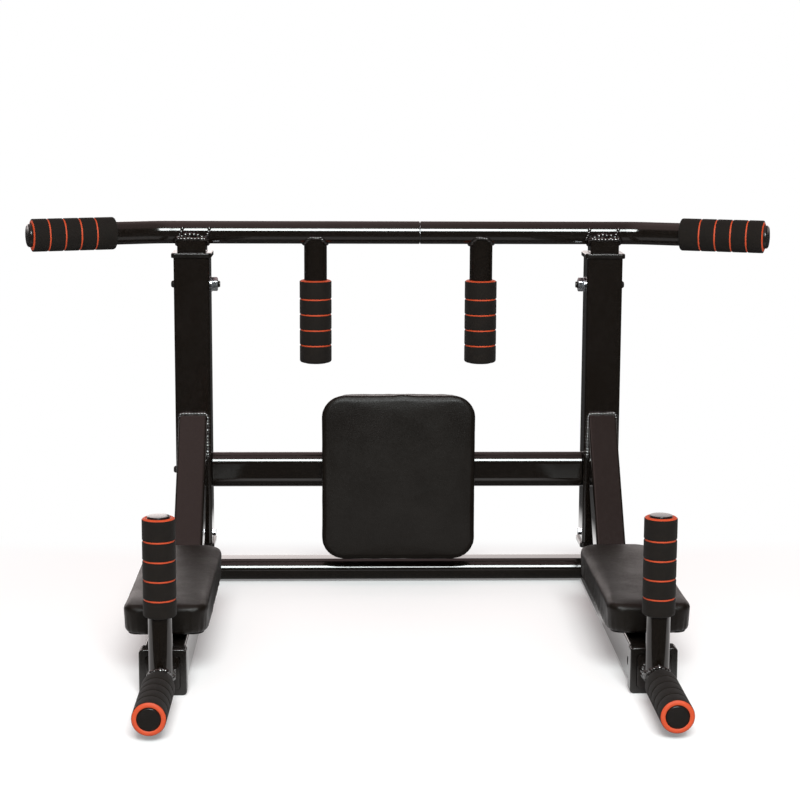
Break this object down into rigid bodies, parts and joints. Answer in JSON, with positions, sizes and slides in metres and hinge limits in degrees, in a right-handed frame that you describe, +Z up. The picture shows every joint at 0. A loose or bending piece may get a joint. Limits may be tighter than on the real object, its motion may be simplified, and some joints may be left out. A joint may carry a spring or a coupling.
{
  "type": "dip station",
  "caption": "Low dip and pull-up frame: L-shaped side frames with padded arms, a back pad, height-adjustable bar with hanging handles, and pull-out dip handles.",
  "frame": {"origin": "on the floor, in the middle of the overall footprint", "axes": "+X to the right seen from the front, +Y to the back where the posts stand, +Z up; the dip handles point to -Y"},
  "size_m": [1.0292, 0.7396, 0.5245],
  "materials": {
    "black_paint": "gloss black powder coat",
    "black_plastic": "satin moulded plastic",
    "foam": "dull closed-cell foam",
    "vinyl": "grained upholstery vinyl over foam",
    "plywood": "raw plywood",
    "zinc": "bright zinc plate",
    "bare_steel": "drawn steel"
  },
  "bodies": {
    "frame": {"post_left": "black_paint", "post_right": "black_paint", "brace_left": "black_paint", "brace_right": "black_paint", "arm_left": "black_paint", "arm_right": "black_paint", "upright_left": "black_paint", "upright_right": "black_paint", "arm_pad_channel_left": "black_paint", "arm_pad_channel_right": "black_paint", "mid_cross_tube": "black_paint", "low_cross_tube": "black_paint", "back_pad_plate": "black_paint", "foot_left": "black_plastic", "foot_right": "black_plastic", "post_top_collar_left": "black_plastic", "post_top_collar_right": "black_plastic", "post_bottom_collar_left": "black_plastic", "post_bottom_collar_right": "black_plastic", "arm_collar_left": "black_plastic", "arm_collar_right": "black_plastic", "arm_pad_left": "vinyl", "arm_pad_right": "vinyl", "back_pad": "vinyl", "back_pad_board": "plywood", "bar_bolt_left": "zinc", "bar_bolt_right": "zinc", "cross_tube_bolt_left": "zinc", "cross_tube_bolt_right": "zinc", "arm_bolt_left": "zinc", "arm_bolt_right": "zinc", "bar_nut_left": "zinc", "bar_nut_right": "zinc"},
    "pull_up_bar": {"bar_half_left": "black_paint", "bar_half_right": "black_paint", "bar_stub_left": "black_paint", "bar_stub_right": "black_paint", "hanging_tube_left": "black_paint", "hanging_tube_right": "black_paint", "bar_grip_left": "foam", "bar_grip_right": "foam", "bar_plug_left": "black_plastic", "bar_plug_right": "black_plastic", "hanging_grip_left": "foam", "hanging_grip_right": "foam", "hanging_plug_left": "black_plastic", "hanging_plug_right": "black_plastic", "bar_joiner": "bare_steel"},
    "dip_handle_left": {"dip_stub_left": "black_paint", "dip_tube_left": "black_paint", "dip_front_grip_left": "foam", "dip_front_plug_left": "black_plastic", "dip_top_grip_left": "foam", "dip_top_plug_left": "black_plastic"},
    "dip_handle_right": {"dip_stub_right": "black_paint", "dip_tube_right": "black_paint", "dip_front_grip_right": "foam", "dip_front_plug_right": "black_plastic", "dip_top_grip_right": "foam", "dip_top_plug_right": "black_plastic"}
  },
  "joints": [
    {"name": "bar_height", "type": "slide", "parent": "frame", "child": "pull_up_bar", "axis": [0, 0, 1], "range_m": [0, 0.15]},
    {"name": "dip_reach_left", "type": "slide", "parent": "frame", "child": "dip_handle_left", "axis": [0, -1, 0], "range_m": [0, 0.12]},
    {"name": "dip_reach_right", "type": "slide", "parent": "frame", "child": "dip_handle_right", "axis": [0, -1, 0], "range_m": [0, 0.12]}
  ]
}
